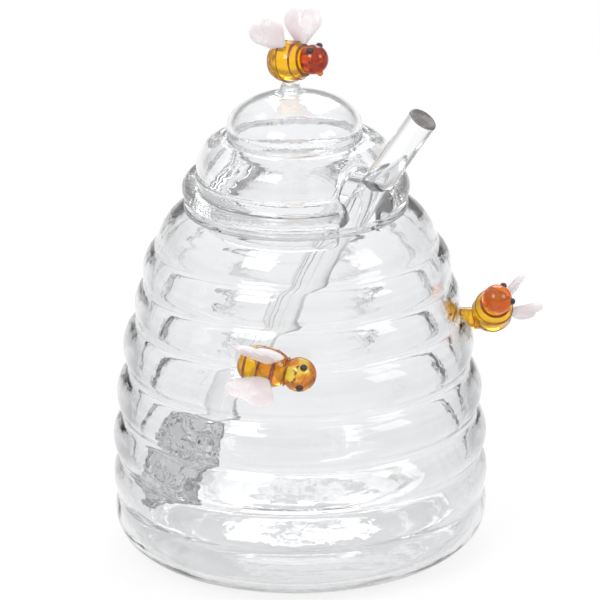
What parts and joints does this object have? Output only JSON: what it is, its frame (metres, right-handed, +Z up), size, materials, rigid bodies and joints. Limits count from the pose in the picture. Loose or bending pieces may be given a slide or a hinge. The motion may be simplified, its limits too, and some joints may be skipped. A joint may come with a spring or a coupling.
{
  "type": "honey pot",
  "caption": "Clear glass honey pot of stacked rounded rolls like a beehive, with a loose ribbed lid, a leaning glass dipper and small glass bees melted on as ornament.",
  "frame": {"origin": "centre of the pot's flat foot, on the surface it stands on", "axes": "+Z up along the pot's axis, -Y to the front, where the front bee sits, +X to the right, where the side bee sits"},
  "size_m": [0.1175, 0.1166, 0.1505],
  "materials": {
    "clear_glass": "fire-polished, colourless, slightly wavy",
    "amber_glass": "fire-polished, see-through amber",
    "orange_glass": "fire-polished, see-through orange",
    "red_glass": "fire-polished, see-through red-orange",
    "dark_amber_glass": "fire-polished, amber with dark red streaks",
    "brown_glass": "fire-polished, dark brown",
    "black_glass": "fire-polished, black",
    "milk_glass": "fire-polished, milky white with a trace of pink"
  },
  "bodies": {
    "pot": {"pot": "clear_glass", "front_bee_body": "amber_glass", "front_bee_head": "dark_amber_glass", "front_bee_stripes": "brown_glass", "front_bee_eyes": "black_glass", "front_bee_mouth": "orange_glass", "front_bee_left_wing": "milk_glass", "front_bee_right_wing": "milk_glass", "front_bee_foot": "amber_glass", "side_bee_body": "amber_glass", "side_bee_head": "orange_glass", "side_bee_stripes": "brown_glass", "side_bee_eyes": "black_glass", "side_bee_mouth": "orange_glass", "side_bee_left_wing": "milk_glass", "side_bee_right_wing": "milk_glass", "side_bee_foot": "amber_glass"},
    "lid": {"lid": "clear_glass", "lid_stem": "clear_glass", "lid_bee_body": "amber_glass", "lid_bee_head": "red_glass", "lid_bee_stripes": "brown_glass", "lid_bee_eyes": "black_glass", "lid_bee_mouth": "orange_glass", "lid_bee_left_wing": "milk_glass", "lid_bee_right_wing": "milk_glass"},
    "dipper": {"dipper_rod": "clear_glass", "dipper_head": "clear_glass"}
  },
  "joints": [
    {"name": "lid_lift", "type": "slide", "parent": "pot", "child": "lid", "axis": [0, 0, 1], "range_m": [0, 0.06]},
    {"name": "dipper_draw", "type": "slide", "parent": "pot", "child": "dipper", "axis": [0.5136, -0.243, 0.8229], "range_m": [0, 0.045]}
  ]
}
